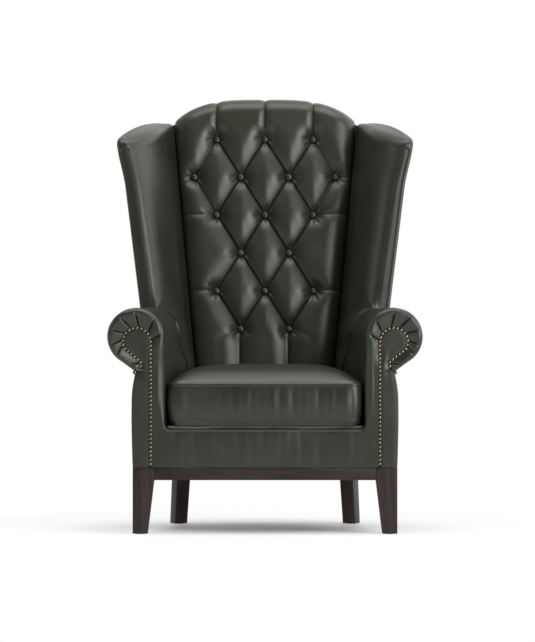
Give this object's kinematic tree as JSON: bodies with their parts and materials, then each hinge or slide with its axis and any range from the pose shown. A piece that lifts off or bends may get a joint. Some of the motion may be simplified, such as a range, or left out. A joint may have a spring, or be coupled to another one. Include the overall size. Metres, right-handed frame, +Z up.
{
  "type": "wing armchair",
  "caption": "High-back leather wing armchair with a diamond-buttoned back, scroll arms with nailhead trim, a loose box cushion and a timber plinth on square legs.",
  "frame": {"origin": "on the floor under the middle of the bounding box", "axes": "+Z up, -Y towards the front of the chair, +X to the viewer's right"},
  "size_m": [0.836, 0.8226, 1.1863],
  "materials": {
    "leather": "semi-gloss dark grey-green leather with a fine grain",
    "timber": "dark stained oak with a satin lacquer",
    "frame_wood": "bare sawn beech",
    "nailhead_brass": "antique brass, dark in the recesses",
    "steel": "plain steel",
    "linen": "jute webbing",
    "black_cloth": "thin black lining cloth",
    "foam": "upholstery foam",
    "glide": "matte black nylon"
  },
  "bodies": {
    "frame": {"front_left_leg": "timber", "front_right_leg": "timber", "rear_left_leg": "timber", "rear_right_leg": "timber", "leg_glides": "glide", "rear_leg_blocks": "frame_wood", "rear_leg_bolts": "steel", "base_front_rail": "timber", "base_rear_rail": "timber", "base_left_rail": "timber", "base_right_rail": "timber", "base_screws": "steel", "seat_front_rail": "frame_wood", "seat_rear_rail": "frame_wood", "seat_left_rail": "frame_wood", "seat_right_rail": "frame_wood", "seat_corner_blocks": "frame_wood", "left_arm_post": "frame_wood", "right_arm_post": "frame_wood", "left_arm_rail": "frame_wood", "right_arm_rail": "frame_wood", "left_back_post": "frame_wood", "right_back_post": "frame_wood", "crest_rail": "frame_wood", "lower_back_rail": "frame_wood", "left_wing_board": "frame_wood", "right_wing_board": "frame_wood", "seat_springs": "steel", "spring_clips": "steel", "back_webbing": "linen", "seat_deck": "black_cloth", "dust_cover": "black_cloth", "inside_back": "leather", "back_buttons": "leather", "outside_back": "leather", "left_wing": "leather", "right_wing": "leather", "left_outside_wing": "leather", "right_outside_wing": "leather", "left_arm_cover": "leather", "right_arm_cover": "leather", "left_outside_arm": "leather", "right_outside_arm": "leather", "left_arm_facing": "leather", "right_arm_facing": "leather", "left_nailheads": "nailhead_brass", "right_nailheads": "nailhead_brass", "front_border": "leather"},
    "cushion": {"seat_cushion": "leather", "cushion_core": "foam"}
  },
  "joints": [
    {"name": "cushion_lift", "type": "slide", "parent": "frame", "child": "cushion", "axis": [0, 0, 1], "range_m": [0, 0.3]}
  ]
}
